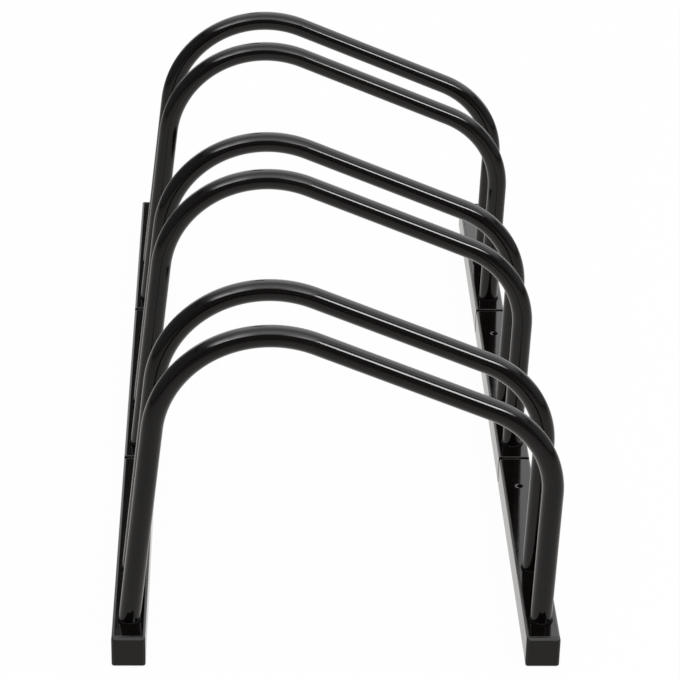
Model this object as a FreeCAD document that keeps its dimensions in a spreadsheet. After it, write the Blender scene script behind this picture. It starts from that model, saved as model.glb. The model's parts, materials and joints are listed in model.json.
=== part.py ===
import FreeCAD, Part
import math
import os
import PartDesign
import Sketcher

# Floor bike stand for three bicycles. Three welded sections push together end to end, and each one has
# two square-tube rails on the floor and a pair of bent-tube hoops across them that hold one wheel.
# X runs across the stand, Y along its rails from front to rear, and Z up from the floor.

# Driving sizes, in millimetres and degrees
SIZES = [
    ("stand_width", 330, "across the outer faces of the two rails"),
    ("stand_height", 270, "from the floor to the top of the hoops"),
    ("section_pitch", 262, "from one section's front end to the next one's"),
    ("rear_rail_length", 220, "rails of the rear section"),
    ("seam_gap", 3.5, "between the rail ends of two sections"),
    ("rail_size", 25, "side of the square rail tube"),
    ("rail_wall", 1.2, "wall of the rail tube"),
    ("rail_corner", 2, "outer corner radius of the rail tube"),
    ("bore_corner", 0.8, "inner corner radius of the rail tube"),
    ("end_round", 0.8, "rounding of the rail tube's end edges"),
    ("hole_from_seam", 46, "fixing hole to the next section's front end"),
    ("hole_diameter", 4, "fixing hole through both walls"),
    ("dimple_diameter", 6.5, "punched dimple round the fixing hole"),
    ("dimple_depth", 0.25, "depth of that dimple"),
    ("tube_diameter", 16, "hoop tube, outside"),
    ("tube_wall", 1.2, "wall of the hoop tube"),
    ("first_hoop_offset", 23, "section's front end to its first hoop"),
    ("hoop_spacing", 71, "first hoop to second hoop of a pair"),
    ("tall_lean", 6.5, "inward lean of the tall leg, degrees"),
    ("tall_bend", 85, "centreline radius of the bend over the tall leg"),
    ("slope_angle", 22.5, "fall of the hoop's top towards the short leg, degrees"),
    ("short_bend", 73, "centreline radius of the bend over the short leg"),
    ("short_lean", 1.5, "outward lean of the short leg, degrees"),
    ("foot_trim", 2, "tube left below the rail top before the feet are cut flat"),
    ("weld_width", 2, "reach of a weld bead over the rail"),
    ("weld_height", 2, "reach of a weld bead up the leg"),
    ("weld_lip", 0.6, "thickness of a bead at its upper edge"),
    ("spigot_fixed", 38, "spigot length fixed in the section in front"),
    ("spigot_free", 37.5, "spigot length that the next section pushes on to"),
    ("spigot_wall", 1.5, "wall of the spigot's free length"),
    ("spigot_clearance", 0.3, "round the free length, each side"),
    ("spigot_corner", 2, "corner radius of the spigot"),
    ("spigot_lead", 1, "lead-in chamfer at the spigot's free end"),
    ("cap_flange", 3, "end cap in front of the tube"),
    ("cap_bevel", 1.5, "bevel round the end cap's face"),
    ("cap_plug", 16, "end cap's plug inside the tube"),
    ("cap_plug_wall", 1.6, "wall of that plug"),
    ("cap_clearance", 0.6, "between the plug and the tube, each side"),
    ("fin_corner", 2, "corner radius of the plug and its fins"),
    ("fin_thickness", 1.2, "gripping fin on the plug"),
    ("fin_start", 3, "tube end to the first fin"),
    ("fin_pitch", 4.5, "one fin to the next"),
    ("fin_count", 3, "fins on one plug"),
]

SECTIONS = ["front", "middle", "rear"]
SIDES = {"left": -1, "right": 1}
TOLERANCE = 1e-4

doc = FreeCAD.newDocument("floor_bike_stand")
sheet = doc.addObject("Spreadsheet::Sheet", "sizes")
for row, (alias, amount, meaning) in enumerate(SIZES, 1):
    sheet.set(f"A{row}", meaning)
    sheet.set(f"B{row}", str(amount))
    sheet.setAlias(f"B{row}", alias)
doc.recompute()

# Sizes that follow from the driving ones
BORE = "(sizes.rail_size - 2 * sizes.rail_wall)"
RAIL_X = "((sizes.stand_width - sizes.rail_size) / 2)"
RAIL_Z = "(sizes.rail_size / 2)"
RAIL_LENGTH = "(sizes.section_pitch - sizes.seam_gap)"
STAND_LENGTH = "(2 * sizes.section_pitch + sizes.rear_rail_length + 2 * sizes.cap_flange)"
SPIGOT_OUTSIDE = f"({BORE} - 2 * sizes.spigot_clearance)"
PLUG_OUTSIDE = f"({BORE} - 2 * sizes.cap_clearance)"


def section_front(index):
    """Y of the front end of a section's rails."""
    return f"({index} * sizes.section_pitch + sizes.cap_flange - {STAND_LENGTH} / 2)"


def hoop_offset(order):
    """Y of a hoop behind its section's front end; order is 0 for the first hoop and 1 for the second."""
    return f"(sizes.first_hoop_offset + {order} * sizes.hoop_spacing)"


def number(expression):
    """Value of an expression over the sheet."""
    result = sheet.evalExpression(expression)
    return float(getattr(result, "Value", result))


def place(part, x="0", y="0", z="0"):
    """Put a sub-part at a point given as expressions."""
    part.setExpression("Placement.Base.x", x)
    part.setExpression("Placement.Base.y", y)
    part.setExpression("Placement.Base.z", z)


# Sketches and features shared by the sub-parts
def new_body(label):
    """An empty body for one sub-part."""
    body = doc.addObject("PartDesign::Body", label)
    body.Label = label
    return body


def new_sketch(body, name, role, lift="0"):
    """A sketch on one of the body's own origin planes, lifted along that plane's normal."""
    sketch = body.newObject("Sketcher::SketchObject", name)
    plane = [feature for feature in body.Origin.OriginFeatures if feature.Role == role][0]
    sketch.AttachmentSupport = [(plane, "")]
    sketch.MapMode = "FlatFace"
    sketch.setExpression("AttachmentOffset.Base.z", lift)
    return sketch


def dimension(sketch, name, expression, *arguments):
    """A driving dimension of a sketch, bound to an expression."""
    index = sketch.addConstraint(Sketcher.Constraint(*arguments))
    sketch.renameConstraint(index, name)
    sketch.setExpression(f"Constraints.{name}", expression)


def draw_square(sketch, side):
    """A square about the sketch's origin."""
    half = number(side) / 2
    corners = [(-half, -half), (half, -half), (half, half), (-half, half)]
    points = [FreeCAD.Vector(x, y, 0) for x, y in corners]
    for index in range(4):
        sketch.addGeometry(Part.LineSegment(points[index], points[(index + 1) % 4]), False)
    for index in range(4):
        sketch.addConstraint(Sketcher.Constraint("Coincident", index, 2, (index + 1) % 4, 1))
    for index in (0, 2):
        sketch.addConstraint(Sketcher.Constraint("Horizontal", index))
        sketch.addConstraint(Sketcher.Constraint("Vertical", index + 1))
    sketch.addConstraint(Sketcher.Constraint("Symmetric", 0, 1, 1, 2, -1, 1))
    sketch.addConstraint(Sketcher.Constraint("Equal", 0, 1))
    dimension(sketch, "side", side, "DistanceX", 0, 1, 0, 2, 2 * half)


def draw_circle(sketch, name, diameter):
    """A circle about the sketch's origin."""
    radius = number(diameter) / 2
    circle = Part.Circle(FreeCAD.Vector(0, 0, 0), FreeCAD.Vector(0, 0, 1), radius)
    index = sketch.addGeometry(circle, False)
    sketch.addConstraint(Sketcher.Constraint("Coincident", index, 3, -1, 1))
    dimension(sketch, name, diameter, "Diameter", index, 2 * radius)


def square_pad(body, name, side, length, to_rear, start="0"):
    """A square bar along Y from a start plane, to the rear or to the front."""
    sketch = new_sketch(body, f"{name}_outline", "XZ_Plane", f"-1 * {start}")
    draw_square(sketch, side)
    feature = body.newObject("PartDesign::Pad", name)
    feature.Profile = sketch
    feature.Reversed = to_rear
    feature.setExpression("Length", length)
    doc.recompute()
    return feature


def square_hollow(body, name, side, both_ways):
    """A square passage along Y, to the rear of the body's origin or right through it."""
    sketch = new_sketch(body, f"{name}_outline", "XZ_Plane")
    draw_square(sketch, side)
    feature = body.newObject("PartDesign::Pocket", name)
    feature.Profile = sketch
    feature.Type = "ThroughAll"
    feature.SideType = "Symmetric" if both_ways else "One side"
    doc.recompute()
    return feature


def corner_edges(shape, side):
    """Names of the edges along Y at the corners of a square of that side."""
    names = []
    for index, edge in enumerate(shape.Edges, 1):
        box = edge.BoundBox
        middle = edge.CenterOfMass
        along_y = box.YLength > box.XLength + box.ZLength
        x_gap = abs(abs(middle.x) - side / 2)
        z_gap = abs(abs(middle.z) - side / 2)
        if along_y and max(x_gap, z_gap) < TOLERANCE:
            names.append(f"Edge{index}")
    return names


def end_rims(shape, planes):
    """Names of the outer edges of the faces that stand square to Y in the given planes."""
    names = []
    for face in shape.Faces:
        flat = face.BoundBox.YLength < TOLERANCE
        if flat and min(abs(face.CenterOfMass.y - plane) for plane in planes) < TOLERANCE:
            rims = face.OuterWire.Edges
            names += [
                f"Edge{index}"
                for index, edge in enumerate(shape.Edges, 1)
                if any(edge.isSame(rim) for rim in rims)
            ]
    return names


def soften(body, name, kind, base, edges, amount):
    """A fillet or a chamfer on some edges of the body's last feature."""
    feature = body.newObject(f"PartDesign::{kind}", name)
    feature.Base = (base, edges)
    feature.setExpression("Radius" if kind == "Fillet" else "Size", amount)
    doc.recompute()
    return feature


# Rails
def make_rail(label, length):
    """A square tube from the body's origin to the rear, its axis on Y."""
    body = new_body(label)
    square_pad(body, "bar", "sizes.rail_size", length, True)
    tube = square_hollow(body, "bore", BORE, False)
    outer = corner_edges(tube.Shape, number("sizes.rail_size"))
    tube = soften(body, "outer_corners", "Fillet", tube, outer, "sizes.rail_corner")
    inner = corner_edges(tube.Shape, number(BORE))
    tube = soften(body, "inner_corners", "Fillet", tube, inner, "sizes.bore_corner")
    rims = end_rims(tube.Shape, [0, number(length)])
    soften(body, "end_edges", "Fillet", tube, rims, "sizes.end_round")
    return body


def drill_rail(body):
    """The fixing hole down through both walls, with its punched dimple in the top."""
    sketch = new_sketch(body, "hole_centre", "XY_Plane", RAIL_Z)
    hole_y = "sizes.section_pitch - sizes.hole_from_seam"
    radius = number("sizes.hole_diameter") / 2
    centre = FreeCAD.Vector(0, number(hole_y), 0)
    sketch.addGeometry(Part.Circle(centre, FreeCAD.Vector(0, 0, 1), radius), False)
    sketch.addConstraint(Sketcher.Constraint("PointOnObject", 0, 3, -2))
    dimension(sketch, "along", hole_y, "DistanceY", -1, 1, 0, 3, centre.y)
    dimension(sketch, "width", "sizes.hole_diameter", "Diameter", 0, 2 * radius)
    doc.recompute()
    hole = body.newObject("PartDesign::Hole", "fixing_hole")
    hole.Profile = sketch
    hole.DepthType = "ThroughAll"
    hole.HoleCutType = "Countersink"
    hole.HoleCutCustomValues = True
    rise = "(sizes.dimple_diameter - sizes.hole_diameter) / (2 * sizes.dimple_depth)"
    hole.setExpression("Diameter", "sizes.hole_diameter")
    hole.setExpression("HoleCutDiameter", "sizes.dimple_diameter")
    hole.setExpression("HoleCutCountersinkAngle", f"2 * atan({rise})")
    doc.recompute()


def make_rails():
    """Two rails for each section, drilled on the front and middle ones."""
    rails = []
    for index, section in enumerate(SECTIONS):
        last = section == "rear"
        for side, sign in SIDES.items():
            rail = make_rail(f"{section}_{side}_rail", "sizes.rear_rail_length" if last else RAIL_LENGTH)
            if not last:
                drill_rail(rail)
            place(rail, f"{sign} * {RAIL_X}", section_front(index), RAIL_Z)
            rails.append(rail)
    return rails


# Hoops
def draw_centreline(sketch):
    """Tall leg, bend, sloping top, bend and short leg, as one tangent line in the hoop's plane."""
    lean, slope, splay = [
        math.radians(number(f"sizes.{angle}")) for angle in ("tall_lean", "slope_angle", "short_lean")
    ]
    tall_bend = number("sizes.tall_bend")
    short_bend = number("sizes.short_bend")
    tall_x = f"-1 * {RAIL_X} - sizes.foot_trim * tan(sizes.tall_lean * 1deg)"
    short_x = f"{RAIL_X} - sizes.foot_trim * tan(sizes.short_lean * 1deg)"
    foot_z = "sizes.rail_size - sizes.foot_trim"
    bend_z = "sizes.stand_height - sizes.tube_diameter / 2 - sizes.tall_bend"
    tall_foot = FreeCAD.Vector(number(tall_x), number(foot_z), 0)
    short_foot = FreeCAD.Vector(number(short_x), number(foot_z), 0)

    # Directions of the legs upwards, of the top downhill, and square to them
    tall_up = FreeCAD.Vector(math.sin(lean), math.cos(lean), 0)
    short_up = FreeCAD.Vector(math.sin(splay), math.cos(splay), 0)
    downhill = FreeCAD.Vector(math.cos(slope), -math.sin(slope), 0)
    top_out = FreeCAD.Vector(math.sin(slope), math.cos(slope), 0)
    tall_in = FreeCAD.Vector(math.cos(lean), -math.sin(lean), 0)
    short_out = FreeCAD.Vector(math.cos(splay), -math.sin(splay), 0)

    # The tall bend's centre lies beside the tall leg at the height that the hoop's top gives
    rise = number(bend_z) - tall_foot.y + tall_bend * math.sin(lean)
    tall_end = tall_foot + tall_up * (rise / math.cos(lean))
    tall_centre = tall_end + tall_in * tall_bend
    top_start = tall_centre + top_out * tall_bend

    # The short bend's centre lies under the sloping top and beside the short leg
    under_top = top_start - top_out * short_bend
    run = (-short_bend - (under_top - short_foot).dot(short_out)) / downhill.dot(short_out)
    short_centre = under_top + downhill * run
    top_end = short_centre + top_out * short_bend
    short_end = short_centre + short_out * short_bend

    up = FreeCAD.Vector(0, 0, 1)
    quarter = math.pi / 2
    tall_circle = Part.Circle(tall_centre, up, tall_bend)
    short_circle = Part.Circle(short_centre, up, short_bend)
    sketch.addGeometry(Part.LineSegment(tall_foot, tall_end), False)
    sketch.addGeometry(Part.ArcOfCircle(tall_circle, quarter - slope, 2 * quarter - lean), False)
    sketch.addGeometry(Part.LineSegment(top_end, top_start), False)
    sketch.addGeometry(Part.ArcOfCircle(short_circle, -splay, quarter - slope), False)
    sketch.addGeometry(Part.LineSegment(short_foot, short_end), False)
    for first, first_end, second, second_end in ((0, 2, 1, 2), (1, 1, 2, 2), (2, 1, 3, 2), (3, 1, 4, 2)):
        sketch.addConstraint(Sketcher.Constraint("Tangent", first, first_end, second, second_end))
    dimension(sketch, "tall_x", tall_x, "DistanceX", 0, 1, tall_foot.x)
    dimension(sketch, "tall_z", foot_z, "DistanceY", 0, 1, tall_foot.y)
    dimension(sketch, "short_x", short_x, "DistanceX", 4, 1, short_foot.x)
    dimension(sketch, "short_z", foot_z, "DistanceY", 4, 1, short_foot.y)
    dimension(sketch, "lean", "90deg - sizes.tall_lean * 1deg", "Angle", 0, quarter - lean)
    dimension(sketch, "slope", "180deg - sizes.slope_angle * 1deg", "Angle", 2, 2 * quarter - slope)
    dimension(sketch, "splay", "90deg - sizes.short_lean * 1deg", "Angle", 4, quarter - splay)
    dimension(sketch, "tall_bend", "sizes.tall_bend", "Radius", 1, tall_bend)
    dimension(sketch, "short_bend", "sizes.short_bend", "Radius", 3, short_bend)
    dimension(sketch, "bend_z", bend_z, "DistanceY", 1, 3, tall_centre.y)


def cut_feet(body):
    """Cut both legs flat at the rail top."""
    sketch = new_sketch(body, "below_rail_top", "XZ_Plane")
    half = number("sizes.stand_width") / 2
    top = number("sizes.rail_size")
    points = [FreeCAD.Vector(x, z, 0) for x, z in ((-half, 0), (half, 0), (half, top), (-half, top))]
    for index in range(4):
        sketch.addGeometry(Part.LineSegment(points[index], points[(index + 1) % 4]), False)
    for index in range(4):
        sketch.addConstraint(Sketcher.Constraint("Coincident", index, 2, (index + 1) % 4, 1))
    for index in (0, 2):
        sketch.addConstraint(Sketcher.Constraint("Horizontal", index))
        sketch.addConstraint(Sketcher.Constraint("Vertical", index + 1))
    sketch.addConstraint(Sketcher.Constraint("Symmetric", 0, 1, 0, 2, -1, 1))
    dimension(sketch, "width", "sizes.stand_width", "DistanceX", 0, 1, 0, 2, 2 * half)
    dimension(sketch, "height", "sizes.rail_size", "DistanceY", 1, 1, 1, 2, top)
    cut = body.newObject("PartDesign::Pocket", "flat_feet")
    cut.Profile = sketch
    cut.Type = "ThroughAll"
    cut.SideType = "Symmetric"


def make_hoop(label):
    """A bent round tube in the body's XZ plane, with both feet cut flat on the rail top."""
    body = new_body(label)
    centreline = new_sketch(body, "centreline", "XZ_Plane")
    draw_centreline(centreline)
    doc.recompute()
    ring = body.newObject("Sketcher::SketchObject", "tube_section")
    ring.AttachmentSupport = [(centreline, "Edge1")]
    ring.MapMode = "NormalToEdge"
    draw_circle(ring, "outside", "sizes.tube_diameter")
    draw_circle(ring, "inside", "sizes.tube_diameter - 2 * sizes.tube_wall")
    doc.recompute()
    tube = body.newObject("PartDesign::AdditivePipe", "bent_tube")
    tube.Profile = ring
    tube.Spine = centreline
    doc.recompute()
    cut_feet(body)
    doc.recompute()
    return body


def make_hoops():
    """A pair of hoops across each section, one each side of the wheel."""
    hoops = []
    for index, section in enumerate(SECTIONS):
        for order, name in enumerate(("first", "second")):
            hoop = make_hoop(f"{section}_{name}_hoop")
            place(hoop, y=f"{section_front(index)} + {hoop_offset(order)}")
            hoops.append(hoop)
    return hoops


# Weld beads
def make_bead(name, x, y, lean):
    """A ring of weld round one foot: a cone on the rail top, less the leg that stands in it."""
    cone = doc.addObject("Part::Cone", f"{name}_cone")
    cone.setExpression("Radius1", "sizes.tube_diameter / 2 + sizes.weld_width")
    cone.setExpression("Radius2", "sizes.tube_diameter / 2 + sizes.weld_lip")
    cone.setExpression("Height", "sizes.weld_height")
    place(cone, x, y, "sizes.rail_size")
    leg = doc.addObject("Part::Cylinder", f"{name}_leg")
    leg.setExpression("Radius", "sizes.tube_diameter / 2")
    leg.setExpression("Height", "2 * (sizes.foot_trim + sizes.weld_height)")
    leg.Placement.Rotation = FreeCAD.Rotation(FreeCAD.Vector(0, 1, 0), number(lean))
    leg.setExpression("Placement.Rotation.Angle", f"{lean} * 1deg")
    place(leg, f"{x} - sizes.foot_trim * tan({lean} * 1deg)", y, "sizes.rail_size - sizes.foot_trim")
    bead = doc.addObject("Part::Cut", name)
    bead.Base = cone
    bead.Tool = leg
    return bead


def make_welds():
    """The four beads of each section, as one group."""
    groups = []
    for index, section in enumerate(SECTIONS):
        beads = []
        for order in (0, 1):
            for side, sign in SIDES.items():
                lean = "sizes.tall_lean" if side == "left" else "sizes.short_lean"
                name = f"{section}_{side}_bead_{order + 1}"
                beads.append(make_bead(name, f"{sign} * {RAIL_X}", hoop_offset(order), lean))
        group = doc.addObject("Part::Compound", f"{section}_welds")
        group.Label = f"{section}_welds"
        group.Links = beads
        place(group, y=section_front(index))
        groups.append(group)
    return groups


# Spigots between the sections
def make_spigot(label):
    """A square sleeve: its front length fills the rail bore, and its rear length stands out for the next rail."""
    body = new_body(label)
    square_pad(body, "fixed_length", BORE, "sizes.spigot_fixed", False)
    bar = square_pad(body, "free_length", SPIGOT_OUTSIDE, "sizes.spigot_free", True)
    corners = corner_edges(bar.Shape, number(BORE)) + corner_edges(bar.Shape, number(SPIGOT_OUTSIDE))
    bar = soften(body, "corners", "Fillet", bar, corners, "sizes.spigot_corner")
    rim = end_rims(bar.Shape, [number("sizes.spigot_free")])
    soften(body, "lead_in", "Chamfer", bar, rim, "sizes.spigot_lead")
    square_hollow(body, "bore", f"{SPIGOT_OUTSIDE} - 2 * sizes.spigot_wall", True)
    return body


def make_spigots():
    """One spigot in the rear end of each front and middle rail."""
    spigots = []
    for index, section in enumerate(SECTIONS[:-1]):
        for side, sign in SIDES.items():
            spigot = make_spigot(f"{section}_{side}_spigot")
            place(spigot, f"{sign} * {RAIL_X}", f"{section_front(index)} + {RAIL_LENGTH}", RAIL_Z)
            spigots.append(spigot)
    return spigots


# End caps
def make_cap(label):
    """A plastic cap: a bevelled face in front of the tube, and a hollow plug with gripping fins inside it."""
    body = new_body(label)
    square_pad(body, "face", "sizes.rail_size", "sizes.cap_flange", False)
    square_pad(body, "plug", PLUG_OUTSIDE, "sizes.cap_plug", True)
    fin = square_pad(body, "fin", BORE, "sizes.fin_thickness", True, "sizes.fin_start")
    fins = body.newObject("PartDesign::LinearPattern", "fins")
    fins.Originals = [fin]
    length_axis = [feature for feature in body.Origin.OriginFeatures if feature.Role == "Y_Axis"][0]
    fins.Direction = (length_axis, [""])
    fins.setExpression("Length", "(sizes.fin_count - 1) * sizes.fin_pitch")
    fins.setExpression("Occurrences", "sizes.fin_count")
    body.Tip = fins
    doc.recompute()
    face_corners = corner_edges(fins.Shape, number("sizes.rail_size"))
    cap = soften(body, "face_corners", "Fillet", fins, face_corners, "sizes.rail_corner")
    fin_corners = corner_edges(cap.Shape, number(BORE)) + corner_edges(cap.Shape, number(PLUG_OUTSIDE))
    cap = soften(body, "fin_corners", "Fillet", cap, fin_corners, "sizes.fin_corner")
    rim = end_rims(cap.Shape, [-number("sizes.cap_flange")])
    soften(body, "face_bevel", "Chamfer", cap, rim, "sizes.cap_bevel")
    square_hollow(body, "plug_hollow", f"{PLUG_OUTSIDE} - 2 * sizes.cap_plug_wall", False)
    return body


def make_caps():
    """Caps in the four open rail ends; the rear ones face the other way."""
    caps = []
    for end, sign_y, turn in (("front", -1, 0), ("rear", 1, 180)):
        for side, sign in SIDES.items():
            cap = make_cap(f"{end}_{side}_cap")
            cap.Placement.Rotation = FreeCAD.Rotation(FreeCAD.Vector(0, 0, 1), turn)
            place(cap, f"{sign} * {RAIL_X}", f"{sign_y} * ({STAND_LENGTH} / 2 - sizes.cap_flange)", RAIL_Z)
            caps.append(cap)
    return caps


sub_parts = make_rails() + make_hoops() + make_welds() + make_spigots() + make_caps()
doc.recompute()

# Nothing is written unless every feature was made and every sub-part is whole
failed = [item.Label for item in doc.Objects if "Invalid" in item.State or "Error" in item.State]
failed += [part.Label for part in sub_parts if part.Shape.isNull() or not part.Shape.isValid()]
if failed:
    raise RuntimeError(f"not made: {failed}")

os.makedirs("parts", exist_ok=True)
for part in sub_parts:
    part.Shape.exportStep(f"parts/{part.Label}.step")
    print(part.Label, len(part.Shape.Solids), round(part.Shape.Volume, 1))
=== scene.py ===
import json
import math
import random

import bmesh
import bpy
from mathutils import Euler, Matrix, Vector


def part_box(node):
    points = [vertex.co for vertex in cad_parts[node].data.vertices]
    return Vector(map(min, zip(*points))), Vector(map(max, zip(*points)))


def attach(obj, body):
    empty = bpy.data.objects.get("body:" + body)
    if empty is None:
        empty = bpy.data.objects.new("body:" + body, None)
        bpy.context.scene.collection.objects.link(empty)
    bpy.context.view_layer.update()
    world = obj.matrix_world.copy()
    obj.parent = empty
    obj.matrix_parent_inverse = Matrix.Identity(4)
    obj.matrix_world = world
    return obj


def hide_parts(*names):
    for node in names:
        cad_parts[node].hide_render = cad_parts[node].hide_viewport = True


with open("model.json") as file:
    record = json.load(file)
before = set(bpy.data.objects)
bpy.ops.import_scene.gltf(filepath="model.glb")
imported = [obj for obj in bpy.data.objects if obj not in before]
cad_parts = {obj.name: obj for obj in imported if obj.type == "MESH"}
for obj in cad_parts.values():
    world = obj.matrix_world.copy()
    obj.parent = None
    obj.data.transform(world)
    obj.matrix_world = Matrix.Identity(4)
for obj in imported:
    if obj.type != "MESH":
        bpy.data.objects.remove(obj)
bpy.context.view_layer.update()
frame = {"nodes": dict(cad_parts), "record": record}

# Rails
# Six lengths of square steel tube lie on the floor, three end to end on each side, coated gloss black. The
# tube has rolled corners and is sawn square and deburred. The front and middle lengths are drilled down
# through both walls before their rear end, and the punch leaves a shallow dimple round each hole.
RAIL_CORNER = 0.002
RAIL_WALL = 0.0012
RAIL_END_ROUND = 0.0008
RAIL_END_STEPS = 4
CORNER_STEPS = 6
HOLE_RADIUS = 0.002
DIMPLE_RADIUS = 0.00325
DIMPLE_DEPTH = 0.0002
DIMPLE_LIP = 0.0002
DIMPLE_LIP_STEPS = 3
HOLE_SIDES = 48
SMOOTH_ANGLE = math.radians(35)
END_FACING = 0.9


def pick(piece):
    """Make a piece the active object and the only selected one."""
    bpy.ops.object.select_all(action="DESELECT")
    piece.select_set(True)
    bpy.context.view_layer.objects.active = piece


def select_edges(piece, test):
    """In edit mode, select the edges that pass a test on their two ends."""
    bpy.ops.mesh.select_mode(type="EDGE")
    bpy.ops.mesh.select_all(action="DESELECT")
    mesh = bmesh.from_edit_mesh(piece.data)
    for edge in mesh.edges:
        if test(edge.verts[0].co, edge.verts[1].co):
            edge.select_set(True)
    bmesh.update_edit_mesh(piece.data)


def select_faces(piece, test):
    """In edit mode, select the faces that pass a test on their centre and normal."""
    bpy.ops.mesh.select_mode(type="FACE")
    bpy.ops.mesh.select_all(action="DESELECT")
    mesh = bmesh.from_edit_mesh(piece.data)
    for face in mesh.faces:
        if test(face.calc_center_median(), face.normal):
            face.select_set(True)
    bmesh.update_edit_mesh(piece.data)


def apply_modifier(piece, kind, **settings):
    """Add one modifier with its settings and apply it."""
    pick(piece)
    modifier = piece.modifiers.new(kind.lower(), kind)
    for name, value in settings.items():
        setattr(modifier, name, value)
    bpy.ops.object.modifier_apply(modifier=modifier.name)


def smooth(piece):
    """Smooth the rounded faces and keep the flat ones flat."""
    pick(piece)
    bpy.ops.object.shade_smooth_by_angle(angle=SMOOTH_ANGLE)
    apply_modifier(piece, "WEIGHTED_NORMAL", keep_sharp=True)


def copy_piece(piece, name, offset):
    """A copy with its own mesh, moved by an offset that goes into the mesh."""
    pick(piece)
    bpy.ops.object.duplicate_move(TRANSFORM_OT_translate={"value": offset})
    twin = bpy.context.object
    twin.name = name
    bpy.ops.object.transform_apply(location=True, rotation=False, scale=False)
    return twin


def stand_for(piece, node):
    """The piece rides with the section that its node is named for, in that node's place."""
    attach(piece, node.split("_")[0] + "_section")
    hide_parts(node)


PEEL_FINENESS = 380.0
PEEL_DETAIL = 1.5
WAVE_FINENESS = 45.0
WAVE_DETAIL = 1.0
WAVE_SHARE = 2.5
FILM_FINENESS = 22.0
FILM_DETAIL = 4.0
FILM_BROKEN = 0.6
FILM_SPREAD = (0.3, 0.7)
DUST_FINENESS = 240.0
DUST_SPECK = (0.10, 0.04)


def ramp(nodes, links, value, start, end):
    """A mask that goes from 0 at the start to 1 at the end."""
    spread = nodes.new("ShaderNodeMapRange")
    spread.inputs["From Min"].default_value = start
    spread.inputs["From Max"].default_value = end
    links.new(value, spread.inputs["Value"])
    return spread.outputs["Result"]


def make_coat_film():
    """Skin of the powder coat: orange peel, slow waves under it, uneven thickness and settled dust."""
    group = bpy.data.node_groups.new("powder_coat_film", "ShaderNodeTree")
    for name, default in (("Peel", PEEL_FINENESS), ("Wave", WAVE_FINENESS), ("Thickness", FILM_FINENESS)):
        socket = group.interface.new_socket(name, in_out="INPUT", socket_type="NodeSocketFloat")
        socket.default_value = default
    for name in ("Height", "Film", "Dust"):
        group.interface.new_socket(name, in_out="OUTPUT", socket_type="NodeSocketFloat")
    nodes, links = group.nodes, group.links
    given = nodes.new("NodeGroupInput")
    made = nodes.new("NodeGroupOutput")
    place = nodes.new("ShaderNodeTexCoord")
    peel = nodes.new("ShaderNodeTexNoise")
    peel.inputs["Detail"].default_value = PEEL_DETAIL
    wave = nodes.new("ShaderNodeTexNoise")
    wave.inputs["Detail"].default_value = WAVE_DETAIL
    film = nodes.new("ShaderNodeTexNoise")
    film.inputs["Detail"].default_value = FILM_DETAIL
    film.inputs["Roughness"].default_value = FILM_BROKEN
    grains = nodes.new("ShaderNodeTexVoronoi")
    grains.inputs["Scale"].default_value = DUST_FINENESS
    for texture, name in ((peel, "Peel"), (wave, "Wave"), (film, "Thickness")):
        links.new(given.outputs[name], texture.inputs["Scale"])
    for texture in (peel, wave, film, grains):
        links.new(place.outputs["Object"], texture.inputs["Vector"])
    height = nodes.new("ShaderNodeMath")
    height.operation = "MULTIPLY_ADD"
    height.inputs[1].default_value = WAVE_SHARE
    links.new(wave.outputs["Fac"], height.inputs[0])
    links.new(peel.outputs["Fac"], height.inputs[2])
    thin = ramp(nodes, links, film.outputs["Fac"], *FILM_SPREAD)
    speck = ramp(nodes, links, grains.outputs["Distance"], *DUST_SPECK)
    settled = nodes.new("ShaderNodeMath")
    settled.operation = "MULTIPLY"
    links.new(speck, settled.inputs[0])
    links.new(thin, settled.inputs[1])
    links.new(height.outputs["Value"], made.inputs["Height"])
    links.new(thin, made.inputs["Film"])
    links.new(settled.outputs["Value"], made.inputs["Dust"])
    return group


def mix_colours(nodes, links, mask, first, second):
    """A colour that goes from the first to the second by a mask; either may be a socket."""
    mix = nodes.new("ShaderNodeMix")
    mix.data_type = "RGBA"
    links.new(mask, mix.inputs["Factor"])
    inputs = [socket for socket in mix.inputs if socket.type == "RGBA"]
    for socket, colour in zip(inputs, (first, second)):
        if isinstance(colour, bpy.types.NodeSocket):
            links.new(colour, socket)
        else:
            socket.default_value = (*colour, 1)
    return [socket for socket in mix.outputs if socket.type == "RGBA"][0]


def between(nodes, links, mask, low, high):
    """A value that goes from low to high by a mask."""
    spread = nodes.new("ShaderNodeMapRange")
    spread.inputs["To Min"].default_value = low
    spread.inputs["To Max"].default_value = high
    links.new(mask, spread.inputs["Value"])
    return spread.outputs["Result"]


COAT_FILM = make_coat_film()
COAT_DEEP = (0.0023, 0.0017, 0.0015)
COAT_THIN = (0.0037, 0.0029, 0.0026)
DUST_GREY = (0.030, 0.028, 0.026)
COAT_INDEX = 1.37


def make_coat(name, peel, relief, roughness, dust):
    """Gloss black powder coat: how fine its orange peel is, its relief in metres, its roughness and dust."""
    coat = bpy.data.materials.new(name)
    coat.use_nodes = True
    nodes, links = coat.node_tree.nodes, coat.node_tree.links
    paint = nodes["Principled BSDF"]
    film = nodes.new("ShaderNodeGroup")
    film.node_tree = COAT_FILM
    film.inputs["Peel"].default_value = peel
    black = mix_colours(nodes, links, film.outputs["Film"], COAT_DEEP, COAT_THIN)
    settled = between(nodes, links, film.outputs["Dust"], 0, dust)
    links.new(mix_colours(nodes, links, settled, black, DUST_GREY), paint.inputs["Base Color"])
    links.new(between(nodes, links, film.outputs["Film"], *roughness), paint.inputs["Roughness"])
    bump = nodes.new("ShaderNodeBump")
    bump.inputs["Strength"].default_value = 1
    bump.inputs["Distance"].default_value = relief
    links.new(film.outputs["Height"], bump.inputs["Height"])
    links.new(bump.outputs["Normal"], paint.inputs["Normal"])
    paint.inputs["IOR"].default_value = COAT_INDEX
    return coat


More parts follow.
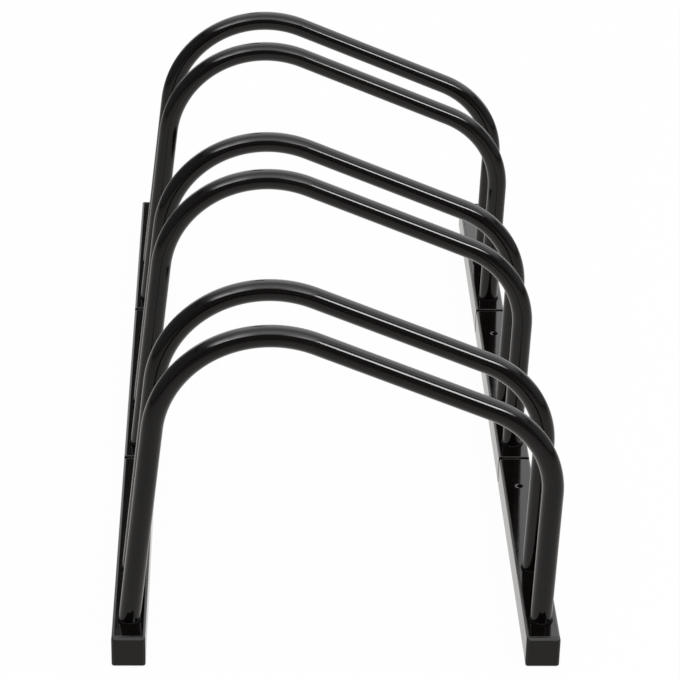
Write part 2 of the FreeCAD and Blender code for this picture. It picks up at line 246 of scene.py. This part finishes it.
def make_rail(node, name):
    """A rolled square tube with open ends, in the place of a CAD rail."""
    low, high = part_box(node)
    bpy.ops.object.select_all(action="DESELECT")
    bpy.ops.mesh.primitive_cube_add(size=1, location=(low + high) / 2)
    rail = bpy.context.object
    rail.name = name
    rail.scale = high - low
    bpy.ops.object.transform_apply(location=True, rotation=True, scale=True)
    bpy.ops.object.mode_set(mode="EDIT")
    select_edges(rail, lambda a, b: abs(a.y - b.y) > RAIL_CORNER)
    bpy.ops.mesh.bevel(offset=RAIL_CORNER, segments=CORNER_STEPS, affect="EDGES")
    select_faces(rail, lambda centre, normal: abs(normal.y) > END_FACING)
    bpy.ops.mesh.delete(type="ONLY_FACE")
    bpy.ops.object.mode_set(mode="OBJECT")
    apply_modifier(rail, "SOLIDIFY", thickness=RAIL_WALL, offset=-1, use_even_offset=True)
    middle = (low + high) / 2
    bore = (high.x - low.x) / 2 - RAIL_WALL

    def on_outer_rim(end):
        at_end = abs(end.y - middle.y) > middle.y - low.y - RAIL_END_ROUND
        return at_end and max(abs(end.x - middle.x), abs(end.z - middle.z)) > bore + RAIL_WALL / 4

    bpy.ops.object.mode_set(mode="EDIT")
    select_edges(rail, lambda a, b: on_outer_rim(a) and on_outer_rim(b) and abs(a.y - b.y) < RAIL_END_ROUND)
    bpy.ops.mesh.bevel(offset=RAIL_END_ROUND, segments=RAIL_END_STEPS, affect="EDGES")
    bpy.ops.object.mode_set(mode="OBJECT")
    return rail


def drill_rail(rail, x, y, top):
    """Drill down through both walls with a bit that widens to the dimple at the top."""
    bpy.ops.object.select_all(action="DESELECT")
    bpy.ops.mesh.primitive_circle_add(
        vertices=HOLE_SIDES, radius=HOLE_RADIUS, fill_type="NGON", location=(x, y, -RAIL_WALL)
    )
    bit = bpy.context.object
    bpy.ops.object.transform_apply(location=True, rotation=True, scale=True)
    bpy.ops.object.mode_set(mode="EDIT")
    bpy.ops.mesh.select_all(action="SELECT")
    up = top - DIMPLE_DEPTH + RAIL_WALL
    bpy.ops.mesh.extrude_region_move(TRANSFORM_OT_translate={"value": (0, 0, up)})
    bpy.ops.mesh.extrude_region_move(TRANSFORM_OT_translate={"value": (0, 0, DIMPLE_DEPTH)})
    wide = DIMPLE_RADIUS / HOLE_RADIUS
    bpy.ops.transform.resize(value=(wide, wide, 1), center_override=(x, y, top))
    bpy.ops.mesh.extrude_region_move(TRANSFORM_OT_translate={"value": (0, 0, RAIL_WALL)})
    bpy.ops.mesh.select_all(action="SELECT")
    bpy.ops.mesh.normals_make_consistent(inside=False)
    bpy.ops.object.mode_set(mode="OBJECT")
    apply_modifier(rail, "BOOLEAN", operation="DIFFERENCE", object=bit, solver="EXACT")
    bpy.data.objects.remove(bit)
    bpy.ops.object.mode_set(mode="EDIT")

    def on_lip(a, b):
        middle = Vector((x, y, top))
        return all(abs((end - middle).length - DIMPLE_RADIUS) < DIMPLE_LIP / 10 for end in (a, b))

    select_edges(rail, on_lip)
    bpy.ops.mesh.bevel(offset=DIMPLE_LIP, segments=DIMPLE_LIP_STEPS, affect="EDGES")
    bpy.ops.object.mode_set(mode="OBJECT")


rail_coat = make_coat("rail_coat", peel=330, relief=0.000010, roughness=(0.06, 0.10), dust=0.35)
bolts = next(mount for mount in frame["record"]["mounts"] if mount["name"] == "floor_bolts")
hole_y = bolts["pos_m"][1] - bolts["dims"]["spacing_y_mm"] / 2000
left_low, left_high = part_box("front_left_rail")
right_low, right_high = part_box("front_right_rail")
left_x = (left_low.x + left_high.x) / 2
right_x = (right_low.x + right_high.x) / 2
rail_top = left_high.z
across = Vector((right_x - left_x, 0, 0))
along = Vector((0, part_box("middle_left_rail")[0].y - left_low.y, 0))

drilled_rail = make_rail("front_left_rail", "front_left_tube")
drill_rail(drilled_rail, left_x, hole_y, rail_top)
rear_rail = make_rail("rear_left_rail", "rear_left_tube")
for rail in (drilled_rail, rear_rail):
    rail.data.materials.append(rail_coat)
    smooth(rail)
rails = {
    "front_left_rail": drilled_rail,
    "front_right_rail": copy_piece(drilled_rail, "front_right_tube", across),
    "middle_left_rail": copy_piece(drilled_rail, "middle_left_tube", along),
    "middle_right_rail": copy_piece(drilled_rail, "middle_right_tube", along + across),
    "rear_left_rail": rear_rail,
    "rear_right_rail": copy_piece(rear_rail, "rear_right_tube", across),
}
for node, rail in rails.items():
    stand_for(rail, node)

# Hoops
# Six hoops of round steel tube stand across the rails in pairs, a tyre's width apart. Each is bent on two
# formers, over the tall leg and over the short leg, so its top falls to one side. Its feet are sawn flat.
TALL_LEAN = math.radians(6.5)
TALL_BEND = 0.085
TOP_FALL = math.radians(22.5)
SHORT_BEND = 0.073
SHORT_LEAN = math.radians(1.5)
HOOP_RADIUS = 0.008
HOOP_WALL = 0.0012
HOOP_SIDES = 64
BEND_STEP = math.radians(2.2)
FOOT_TRIM = 0.003
MERGE_GAP = 1e-6

hoop_low, hoop_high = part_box("front_first_hoop")
hoop_y = (hoop_low.y + hoop_high.y) / 2
tall_up = Vector((math.sin(TALL_LEAN), 0, math.cos(TALL_LEAN)))
tall_in = Vector((math.cos(TALL_LEAN), 0, -math.sin(TALL_LEAN)))
downhill = Vector((math.cos(TOP_FALL), 0, -math.sin(TOP_FALL)))
top_out = Vector((math.sin(TOP_FALL), 0, math.cos(TOP_FALL)))
short_up = Vector((math.sin(SHORT_LEAN), 0, math.cos(SHORT_LEAN)))
short_out = Vector((math.cos(SHORT_LEAN), 0, -math.sin(SHORT_LEAN)))

tall_foot = Vector((left_x, hoop_y, rail_top)) - tall_up * FOOT_TRIM
short_foot = Vector((right_x, hoop_y, rail_top)) - short_up * FOOT_TRIM
bend_height = hoop_high.z - HOOP_RADIUS - TALL_BEND
tall_leg = (bend_height - tall_foot.z + TALL_BEND * math.sin(TALL_LEAN)) / math.cos(TALL_LEAN)
tall_centre = tall_foot + tall_up * tall_leg + tall_in * TALL_BEND
under_top = tall_centre + top_out * (TALL_BEND - SHORT_BEND)
top_run = (-SHORT_BEND - (under_top - short_foot).dot(short_out)) / downhill.dot(short_out)
short_centre = under_top + downhill * top_run
short_leg = (short_centre + short_out * SHORT_BEND - short_foot).dot(short_up)
tall_turn = math.pi / 2 + TOP_FALL - TALL_LEAN
short_turn = math.pi / 2 + SHORT_LEAN - TOP_FALL

bpy.ops.object.select_all(action="DESELECT")
bpy.ops.mesh.primitive_circle_add(
    vertices=HOOP_SIDES, radius=HOOP_RADIUS, location=tall_foot, rotation=(0, TALL_LEAN, 0)
)
first_hoop = bpy.context.object
first_hoop.name = "front_first_bent_tube"
bpy.ops.object.transform_apply(location=True, rotation=True, scale=True)
bpy.ops.object.mode_set(mode="EDIT")
bpy.ops.mesh.select_mode(type="VERT")
bpy.ops.mesh.select_all(action="SELECT")
bpy.ops.mesh.extrude_region_move(TRANSFORM_OT_translate={"value": tall_up * tall_leg})
bpy.ops.mesh.spin(
    steps=round(tall_turn / BEND_STEP), angle=tall_turn, center=tall_centre, axis=(0, -1, 0)
)
bpy.ops.mesh.extrude_region_move(TRANSFORM_OT_translate={"value": downhill * top_run})
bpy.ops.mesh.spin(
    steps=round(short_turn / BEND_STEP), angle=short_turn, center=short_centre, axis=(0, -1, 0)
)
bpy.ops.mesh.extrude_region_move(TRANSFORM_OT_translate={"value": -short_up * short_leg})
bpy.ops.mesh.select_all(action="SELECT")
bpy.ops.mesh.bisect(plane_co=(0, 0, rail_top), plane_no=(0, 0, 1), clear_inner=True)
bpy.ops.mesh.select_all(action="SELECT")
bpy.ops.mesh.remove_doubles(threshold=MERGE_GAP)
bpy.ops.mesh.normals_make_consistent(inside=False)
bpy.ops.object.mode_set(mode="OBJECT")
apply_modifier(first_hoop, "SOLIDIFY", thickness=HOOP_WALL, offset=-1)
first_hoop.data.materials.append(
    make_coat("hoop_coat", peel=420, relief=0.000008, roughness=(0.07, 0.115), dust=0.08)
)
smooth(first_hoop)
hoops = {"front_first_hoop": first_hoop}
for section in ("front", "middle", "rear"):
    for order in ("first", "second"):
        node = f"{section}_{order}_hoop"
        if node not in hoops:
            offset = Vector((0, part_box(node)[0].y - hoop_low.y, 0))
            hoops[node] = copy_piece(first_hoop, f"{section}_{order}_bent_tube", offset)
for node, hoop in hoops.items():
    stand_for(hoop, node)

# Weld beads
# A small bead of weld runs round each foot where it meets the rail. It is laid drop after drop, so it is a
# little uneven, and the coat flows over it and rounds it off.
WELD_DROPS = 34
WELD_RING = 0.0081
WELD_SLIP = 0.15
DROP_RADIUS = 0.0011
DROP_SIZES = (0.92, 1.06)
DROP_SHAPE = (0.8, 1, 1.4)
DROP_SEGMENTS = 20
DROP_RINGS = 12
DROP_LIFT = 0.0002
WELD_GRAIN = 0.0002
WELD_FLOW = 0.5
WELD_FLOW_PASSES = 10
WELD_ROUGHNESS = (0.45, 0.60)
WELD_SHINE = 0.12

hand = random.Random(7)
bpy.ops.object.select_all(action="DESELECT")
drops = []
for step in range(WELD_DROPS):
    turn = (step + hand.uniform(-WELD_SLIP, WELD_SLIP)) * 2 * math.pi / WELD_DROPS
    out = Vector((math.cos(turn), math.sin(turn), 0)) * WELD_RING
    bpy.ops.mesh.primitive_uv_sphere_add(
        segments=DROP_SEGMENTS,
        ring_count=DROP_RINGS,
        radius=DROP_RADIUS * hand.uniform(*DROP_SIZES),
        location=Vector((left_x, hoop_y, rail_top + DROP_LIFT)) + out,
        rotation=(0, 0, turn),
    )
    drop = bpy.context.object
    drop.scale = DROP_SHAPE
    drops.append(drop)
for drop in drops:
    drop.select_set(True)
bpy.ops.object.join()
bead = bpy.context.object
bpy.ops.object.transform_apply(location=True, rotation=True, scale=True)
apply_modifier(bead, "REMESH", mode="VOXEL", voxel_size=WELD_GRAIN)
apply_modifier(bead, "SMOOTH", factor=WELD_FLOW, iterations=WELD_FLOW_PASSES)
bpy.ops.object.mode_set(mode="EDIT")
bpy.ops.mesh.select_all(action="SELECT")
bpy.ops.mesh.bisect(plane_co=(0, 0, rail_top), plane_no=(0, 0, 1), clear_inner=True, use_fill=True)
bpy.ops.object.mode_set(mode="OBJECT")
weld_coat = make_coat("weld_coat", peel=520, relief=0.000008, roughness=WELD_ROUGHNESS, dust=0.2)
weld_coat.node_tree.nodes["Principled BSDF"].inputs["Specular IOR Level"].default_value = WELD_SHINE
bead.data.materials.append(weld_coat)
pick(bead)
bpy.ops.object.shade_smooth_by_angle(angle=SMOOTH_ANGLE)
pair_gap = Vector((0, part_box("front_second_hoop")[0].y - hoop_low.y, 0))
beads = [bead]
for offset in (across, pair_gap, across + pair_gap):
    beads.append(copy_piece(bead, "bead_copy", offset))
for one in beads:
    one.select_set(True)
bpy.context.view_layer.objects.active = bead
bpy.ops.object.join()
bead.name = "front_weld_beads"
bpy.ops.object.transform_apply(location=True, rotation=True, scale=True)
weld_beads = {
    "front_welds": bead,
    "middle_welds": copy_piece(bead, "middle_weld_beads", along),
    "rear_welds": copy_piece(bead, "rear_weld_beads", along * 2),
}
for node, four_beads in weld_beads.items():
    stand_for(four_beads, node)

# Spigots
# A short sleeve of square steel tube is pressed into the rear end of each front and middle rail, and the
# next rail pushes on to it. It is coated thinly, and each push scrapes bright lines along its length.
SCRAPE_LENGTH = 14.0
SCRAPE_FINENESS = 900.0
SCRAPE_DETAIL = 3
SCRAPE_EDGE = (0.66, 0.74)
SCRAPE_DEPTH = 0.00001
SPIGOT_BLACK = (0.0035, 0.0032, 0.0030)
SCRAPED_STEEL = (0.22, 0.21, 0.20)
SPIGOT_ROUGHNESS = (0.45, 0.60)

scraped = bpy.data.materials.new("scraped_spigot")
scraped.use_nodes = True
nodes, links = scraped.node_tree.nodes, scraped.node_tree.links
sleeve = nodes["Principled BSDF"]
place = nodes.new("ShaderNodeTexCoord")
stretch = nodes.new("ShaderNodeMapping")
stretch.inputs["Scale"].default_value = (SCRAPE_FINENESS, SCRAPE_LENGTH, SCRAPE_FINENESS)
lines = nodes.new("ShaderNodeTexNoise")
lines.inputs["Scale"].default_value = 1
lines.inputs["Detail"].default_value = SCRAPE_DETAIL
links.new(place.outputs["Object"], stretch.inputs["Vector"])
links.new(stretch.outputs["Vector"], lines.inputs["Vector"])
bare = ramp(nodes, links, lines.outputs["Fac"], *SCRAPE_EDGE)
film = nodes.new("ShaderNodeGroup")
film.node_tree = COAT_FILM
links.new(mix_colours(nodes, links, bare, SPIGOT_BLACK, SCRAPED_STEEL), sleeve.inputs["Base Color"])
links.new(bare, sleeve.inputs["Metallic"])
links.new(between(nodes, links, film.outputs["Film"], *SPIGOT_ROUGHNESS), sleeve.inputs["Roughness"])
bump = nodes.new("ShaderNodeBump")
bump.inputs["Distance"].default_value = SCRAPE_DEPTH
links.new(lines.outputs["Fac"], bump.inputs["Height"])
links.new(bump.outputs["Normal"], sleeve.inputs["Normal"])
for node, spigot in frame["nodes"].items():
    if node.endswith("_spigot"):
        spigot.data.materials.clear()
        spigot.data.materials.append(scraped)

# End caps
# Moulded plastic caps close the four open rail ends. A flat face with a softened rim stands in front of the
# tube, and a hollow plug with three gripping fins holds it in the bore. The plastic is satin black.
CAP_RIM = 0.0015
CAP_SOFT = 0.0002
CAP_SOFT_STEPS = 2
CAP_SOFT_ANGLE = math.radians(30)
PLUG_STEP = 0.0018
PLUG_LENGTH = 0.016
PLUG_WALL = 0.0016
FIN_COUNT = 3
FIN_START = 0.003
FIN_PITCH = 0.0045
FIN_THICKNESS = 0.0012
FIN_REACH = 0.0006
CAP_BLACK = (0.0030, 0.0026, 0.0020)
CAP_PALE = (0.0050, 0.0044, 0.0037)
CAP_PATCHES = 90
CAP_DUST = 0.4
CAP_ROUGHNESS = (0.34, 0.52)
CAP_INDEX = 1.36
GRAIN_FINENESS = 1400
GRAIN_DETAIL = 3
GRAIN_DEPTH = 0.00003

cap_low, cap_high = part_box("front_left_cap")
face_rear = left_low.y
face_middle = Vector((left_x, (cap_low.y + face_rear) / 2, (cap_low.z + cap_high.z) / 2))
face_side = cap_high.x - cap_low.x
plug_side = face_side - 2 * PLUG_STEP
bpy.ops.object.select_all(action="DESELECT")
bpy.ops.mesh.primitive_cube_add(size=1, location=face_middle)
cap = bpy.context.object
cap.name = "front_left_plastic_cap"
cap.scale = (face_side, face_rear - cap_low.y, face_side)
bpy.ops.object.transform_apply(location=True, rotation=True, scale=True)
bpy.ops.object.mode_set(mode="EDIT")
select_edges(cap, lambda a, b: abs(a.y - b.y) > CAP_SOFT)
bpy.ops.mesh.bevel(offset=RAIL_CORNER, segments=CORNER_STEPS, affect="EDGES")
select_edges(cap, lambda a, b: max(a.y, b.y) < cap_low.y + CAP_RIM / 10)
bpy.ops.mesh.bevel(offset=CAP_RIM, segments=1, affect="EDGES")
select_faces(cap, lambda centre, normal: normal.y > END_FACING)
bpy.ops.mesh.inset(thickness=PLUG_STEP)


def reach(distance):
    """Draw the selected end of the plug out along the rail."""
    bpy.ops.mesh.extrude_region_move(TRANSFORM_OT_translate={"value": (0, distance, 0)})


def widen(wide):
    """Widen or narrow the selected end of the plug about its middle."""
    bpy.ops.transform.resize(value=(wide, 1, wide), center_override=face_middle)


fin_wide = (plug_side + 2 * FIN_REACH) / plug_side
plug_tail = PLUG_LENGTH - FIN_START - (FIN_COUNT - 1) * FIN_PITCH - FIN_THICKNESS
reach(FIN_START)
for fin in range(FIN_COUNT):
    reach(0)
    widen(fin_wide)
    reach(FIN_THICKNESS)
    reach(0)
    widen(1 / fin_wide)
    reach(FIN_PITCH - FIN_THICKNESS if fin < FIN_COUNT - 1 else plug_tail)
bpy.ops.mesh.inset(thickness=PLUG_WALL)
reach(-PLUG_LENGTH)
bpy.ops.mesh.select_all(action="SELECT")
bpy.ops.mesh.normals_make_consistent(inside=False)
bpy.ops.object.mode_set(mode="OBJECT")
apply_modifier(
    cap, "BEVEL", width=CAP_SOFT, segments=CAP_SOFT_STEPS, limit_method="ANGLE", angle_limit=CAP_SOFT_ANGLE
)

plastic = bpy.data.materials.new("cap_plastic_grain")
plastic.use_nodes = True
nodes, links = plastic.node_tree.nodes, plastic.node_tree.links
moulding = nodes["Principled BSDF"]
place = nodes.new("ShaderNodeTexCoord")
grain = nodes.new("ShaderNodeTexNoise")
grain.inputs["Scale"].default_value = GRAIN_FINENESS
grain.inputs["Detail"].default_value = GRAIN_DETAIL
links.new(place.outputs["Object"], grain.inputs["Vector"])
film = nodes.new("ShaderNodeGroup")
film.node_tree = COAT_FILM
film.inputs["Thickness"].default_value = CAP_PATCHES
black = mix_colours(nodes, links, film.outputs["Film"], CAP_BLACK, CAP_PALE)
dusted = between(nodes, links, film.outputs["Dust"], 0, CAP_DUST)
links.new(mix_colours(nodes, links, dusted, black, DUST_GREY), moulding.inputs["Base Color"])
links.new(between(nodes, links, grain.outputs["Fac"], *CAP_ROUGHNESS), moulding.inputs["Roughness"])
bump = nodes.new("ShaderNodeBump")
bump.inputs["Distance"].default_value = GRAIN_DEPTH
links.new(grain.outputs["Fac"], bump.inputs["Height"])
links.new(bump.outputs["Normal"], moulding.inputs["Normal"])
moulding.inputs["IOR"].default_value = CAP_INDEX
cap.data.materials.append(plastic)
smooth(cap)


def copy_to_rear(piece, name):
    """A copy turned half round about the middle of the stand, for the other end."""
    twin = copy_piece(piece, name, (0, 0, 0))
    bpy.ops.transform.rotate(value=math.pi, orient_axis="Z", center_override=(0, 0, 0))
    bpy.ops.object.transform_apply(location=True, rotation=True, scale=True)
    return twin


right_cap = copy_piece(cap, "front_right_plastic_cap", across)
caps = {
    "front_left_cap": cap,
    "front_right_cap": right_cap,
    "rear_right_cap": copy_to_rear(cap, "rear_right_plastic_cap"),
    "rear_left_cap": copy_to_rear(right_cap, "rear_left_plastic_cap"),
}
for node, one in caps.items():
    stand_for(one, node)

# Studio
# A pale floor runs out to a white surround. To mirrored rays the floor shows painted light round the stand
# that fades to painted shade far off. Soft lights cover the ceiling, brightest at its front, a lamp hangs at
# each front corner, and a weaker light fills the back. Dark cards close the front and the sides, so that the
# tubes mirror lines of light. The coat mirrors each light brighter than it shines.
FLOOR_SIZE = 30
FLOOR_DROP = 0.0004
FLOOR_MATT = (0.73, 0.73, 0.73)
STUDIO_WHITE = (1, 1, 1)
# Painted light and painted shade that mirrored rays see on the floor, near the stand and far from it.
FLOOR_PAINTED_LIGHT = (0.90, 0.88, 0.862)
FLOOR_PAINTED_SHADE = (0.15, 0.145, 0.14)
PAINTED_FALLOFF_SPAN = (0.2, 2.2)
SHADOW_SHARE = 0.03
LIGHT_HEIGHT = 2.2
LAMP_DROP = 0.05
LIT_SHARE = 0.54
CEILING_GLOW = 2.9
FRONT_GLOW = 3.9
RIGHT_BOX_GLOW = 26
RIGHT_SPILL_GLOW = 6
LEFT_BOX_GLOW = 12
LEFT_SIDE_GLOW = 0.3
RIGHT_SIDE_GLOW = 0.5
DARK_FRONT_GLOW = 0.17
BACK_GLOW = 1.75
FLAG_GLOW = 0.07
CARD_HEIGHT = 3.4
ROOM_AMBIENT = 0.45

bpy.ops.object.select_all(action="DESELECT")
bpy.ops.mesh.primitive_plane_add(size=FLOOR_SIZE, location=(0, 0, -FLOOR_DROP))
floor = bpy.context.object
floor.name = "studio_floor"
pale = bpy.data.materials.new("floor_white")
pale.use_nodes = True
nodes, links = pale.node_tree.nodes, pale.node_tree.links
nodes.clear()


def seen_rays(nodes, links, ray):
    """One for the rays that show a surround: straight from the camera, mirrored or through glass."""
    seen = ray.outputs["Is Camera Ray"]
    for name in ("Is Glossy Ray", "Is Transmission Ray"):
        either = nodes.new("ShaderNodeMath")
        either.operation = "MAXIMUM"
        links.new(seen, either.inputs[0])
        links.new(ray.outputs[name], either.inputs[1])
        seen = either.outputs["Value"]
    return seen


ray = nodes.new("ShaderNodeLightPath")
white = nodes.new("ShaderNodeEmission")
place = nodes.new("ShaderNodeTexCoord")
# Painted light and shade: to mirrored rays the floor is lit round the stand and darkens with distance from
# it.
distance = nodes.new("ShaderNodeVectorMath")
distance.operation = "LENGTH"
links.new(place.outputs["Object"], distance.inputs[0])
far = ramp(nodes, links, distance.outputs["Value"], *PAINTED_FALLOFF_SPAN)
mirrored = mix_colours(nodes, links, far, FLOOR_PAINTED_LIGHT, FLOOR_PAINTED_SHADE)
shown = mix_colours(nodes, links, ray.outputs["Is Glossy Ray"], STUDIO_WHITE, mirrored)
links.new(shown, white.inputs["Color"])
matt = nodes.new("ShaderNodeBsdfDiffuse")
matt.inputs["Color"].default_value = (*FLOOR_MATT, 1)
shaded = nodes.new("ShaderNodeMixShader")
shaded.inputs["Fac"].default_value = SHADOW_SHARE
links.new(white.outputs["Emission"], shaded.inputs[1])
links.new(matt.outputs["BSDF"], shaded.inputs[2])
surface = nodes.new("ShaderNodeMixShader")
links.new(seen_rays(nodes, links, ray), surface.inputs["Fac"])
links.new(matt.outputs["BSDF"], surface.inputs[1])
links.new(shaded.outputs["Shader"], surface.inputs[2])
out = nodes.new("ShaderNodeOutputMaterial")
links.new(surface.outputs["Shader"], out.inputs["Surface"])
floor.data.materials.append(pale)


def hang_card(name, middle, size, turn=(0, 0, 0), glow=0.0, fades=(0, 0, 0, 0), stops=(), clear=False):
    """A card that the camera does not see. The coat mirrors its glow, and LIT_SHARE of it lights the stand.
    The glow fades over a width at its left, right, near and far edge. Stops give its share from the near
    edge, at 0, to the far one, at 1. A clear card adds its glow to what hangs behind it."""
    bpy.ops.object.select_all(action="DESELECT")
    bpy.ops.mesh.primitive_plane_add(size=1, location=middle, rotation=turn)
    card = bpy.context.object
    card.name = name
    card.scale = (*size, 1)
    bpy.ops.object.transform_apply(location=False, rotation=False, scale=True)
    card.visible_camera = False
    cloth = bpy.data.materials.new(name)
    cloth.use_nodes = True
    nodes, links = cloth.node_tree.nodes, cloth.node_tree.links
    nodes.clear()
    light = nodes.new("ShaderNodeEmission")
    place = nodes.new("ShaderNodeTexCoord")
    split = nodes.new("ShaderNodeSeparateXYZ")
    links.new(place.outputs["Object"], split.inputs["Vector"])
    ray = nodes.new("ShaderNodeLightPath")
    masks = [between(nodes, links, ray.outputs["Is Glossy Ray"], LIT_SHARE, 1)]
    for edge, fade in enumerate(fades):
        if fade:
            half = size[edge // 2] / 2
            away = -1 if edge % 2 == 0 else 1
            masks.append(ramp(nodes, links, split.outputs[edge // 2], away * half, away * (half - fade)))
    if stops:
        depth = ramp(nodes, links, split.outputs["Y"], -size[1] / 2, size[1] / 2)
        shares = nodes.new("ShaderNodeValToRGB")
        links.new(depth, shares.inputs["Fac"])
        marks = shares.color_ramp.elements
        for mark, (where, share) in zip((marks[0], marks[1]), (stops[0], stops[-1])):
            mark.position = where
            mark.color = (share, share, share, 1)
        for where, share in stops[1:-1]:
            marks.new(where).color = (share, share, share, 1)
        masks.append(shares.outputs["Color"])
    strength = None
    for mask in masks:
        part = nodes.new("ShaderNodeMath")
        part.operation = "MULTIPLY"
        part.inputs[1].default_value = glow
        links.new(mask, part.inputs[0])
        if strength:
            links.new(strength, part.inputs[1])
        strength = part.outputs["Value"]
    links.new(strength, light.inputs["Strength"])
    surface = light.outputs["Emission"]
    if clear:
        both = nodes.new("ShaderNodeAddShader")
        links.new(surface, both.inputs[0])
        links.new(nodes.new("ShaderNodeBsdfTransparent").outputs["BSDF"], both.inputs[1])
        surface = both.outputs["Shader"]
    out = nodes.new("ShaderNodeOutputMaterial")
    links.new(surface, out.inputs["Surface"])
    card.data.materials.append(cloth)


hang_card(
    "ceiling_light", (1.0, 1.1, LIGHT_HEIGHT), (7.2, 3.7), glow=CEILING_GLOW, fades=(1.8, 1.9, 0, 0),
    stops=((0, 0.98), (0.095, 0.74), (0.20, 0.58), (0.34, 0.79), (0.5, 1), (0.88, 1), (1, 0.56)),
)
hang_card(
    "front_light", (0.12, -1.6, LIGHT_HEIGHT), (2.44, 1.7), glow=FRONT_GLOW, fades=(0.25, 0.1, 0, 0),
    stops=((0, 0.28), (0.15, 0.57), (0.35, 0.85), (0.5, 1), (0.73, 0.97), (1, 0.73)),
)
hang_card(
    "right_lamp_box", (2.1, -2.1, LIGHT_HEIGHT - LAMP_DROP), (1.7, 1), glow=RIGHT_BOX_GLOW,
    fades=(0.2, 0.95, 0.1, 0.1), clear=True,
)
hang_card(
    "right_lamp_spill", (0.75, -2.15, LIGHT_HEIGHT - LAMP_DROP), (1.0, 1.2), glow=RIGHT_SPILL_GLOW,
    fades=(0.6, 0.1, 0.2, 0.4), clear=True,
)
hang_card(
    "left_lamp_box", (-1.2, -1.5, LIGHT_HEIGHT - LAMP_DROP), (1.6, 1.9), glow=LEFT_BOX_GLOW,
    fades=(0.45, 0.85, 0.15, 1.5), clear=True,
)
upright = math.pi / 2
hang_card(
    "dark_front", (1.0, -3.1, CARD_HEIGHT), (8.4, 2 * CARD_HEIGHT), (upright, 0, 0), glow=DARK_FRONT_GLOW
)
hang_card("left_side", (-2.7, 0.4, CARD_HEIGHT / 2), (CARD_HEIGHT, 7), (0, upright, 0), glow=LEFT_SIDE_GLOW)
hang_card("right_side", (4.7, 0.4, CARD_HEIGHT / 2), (CARD_HEIGHT, 7), (0, upright, 0), glow=RIGHT_SIDE_GLOW)
hang_card("back_light", (1.0, 4.6, CARD_HEIGHT / 2), (9, CARD_HEIGHT), (upright, 0, 0), glow=BACK_GLOW)
# The left rail mirrors this flag, so its top stays dark.
hang_card("back_flag", (-0.29, 2.6, 1.55), (0.28, 1.15), (upright, 0, 0), glow=FLAG_GLOW)

world = bpy.data.worlds.new("studio_surround")
bpy.context.scene.world = world
world.use_nodes = True
nodes, links = world.node_tree.nodes, world.node_tree.links
surround = nodes["Background"]
surround.inputs["Color"].default_value = (*STUDIO_WHITE, 1)
seen = seen_rays(nodes, links, nodes.new("ShaderNodeLightPath"))
links.new(between(nodes, links, seen, ROOM_AMBIENT, 1), surround.inputs["Strength"])

# Camera
# It stands in front of the stand's end, a little to the left, and looks down along the rails. It is held a
# degree out of level.
IMAGE_SIDE = 680
SENSOR_WIDTH = 36
FOCAL_PIXELS = 2869.8
LENS_CENTRE = (309, 381)
CAMERA_PLACE = (-0.0723, -2.1266, 1.2018)
CAMERA_TURN = 0.0280
CAMERA_DIP = 0.5018
CAMERA_ROLL = 0.0167

aim = Euler((math.pi / 2 - CAMERA_DIP, 0, -CAMERA_TURN)).to_matrix() @ Matrix.Rotation(CAMERA_ROLL, 3, "Z")
bpy.ops.object.camera_add(location=CAMERA_PLACE, rotation=aim.to_euler())
camera = bpy.context.object
camera.data.sensor_width = SENSOR_WIDTH
camera.data.lens = FOCAL_PIXELS * SENSOR_WIDTH / IMAGE_SIDE
camera.data.shift_x = (IMAGE_SIDE / 2 - LENS_CENTRE[0]) / IMAGE_SIDE
camera.data.shift_y = (LENS_CENTRE[1] - IMAGE_SIDE / 2) / IMAGE_SIDE
bpy.context.scene.camera = camera
bpy.context.scene.view_settings.view_transform = "Standard"
